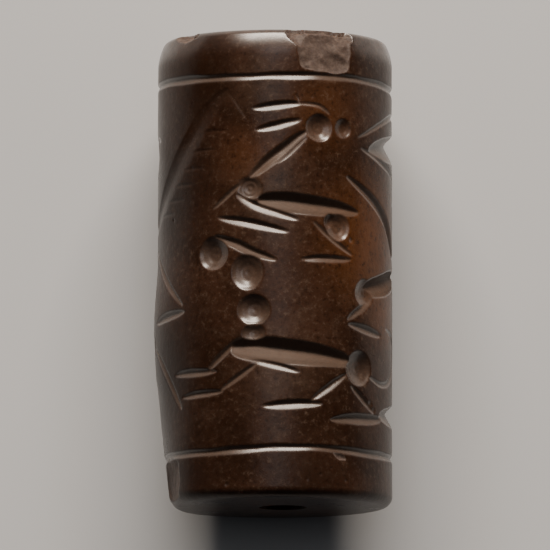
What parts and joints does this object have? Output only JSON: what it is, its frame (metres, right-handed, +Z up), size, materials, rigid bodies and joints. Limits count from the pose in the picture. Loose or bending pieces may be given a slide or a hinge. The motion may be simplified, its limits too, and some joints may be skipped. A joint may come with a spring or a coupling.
{
  "type": "cylinder seal",
  "caption": "Bored cylinder of dark stone with an animal frieze sunk into its side, lying on a narrow flat.",
  "frame": {"origin": "centre of the flat on the underside, under the middle of the seal", "axes": "+Y along the seal to its top end, +Z up to the front of the frieze, +X to the right of the front"},
  "size_m": [0.0179, 0.035, 0.0175],
  "materials": {
    "stone": "polished, worn, dark brown chalcedony"
  },
  "bodies": {
    "root": {"seal_body": "stone"}
  },
  "joints": []
}
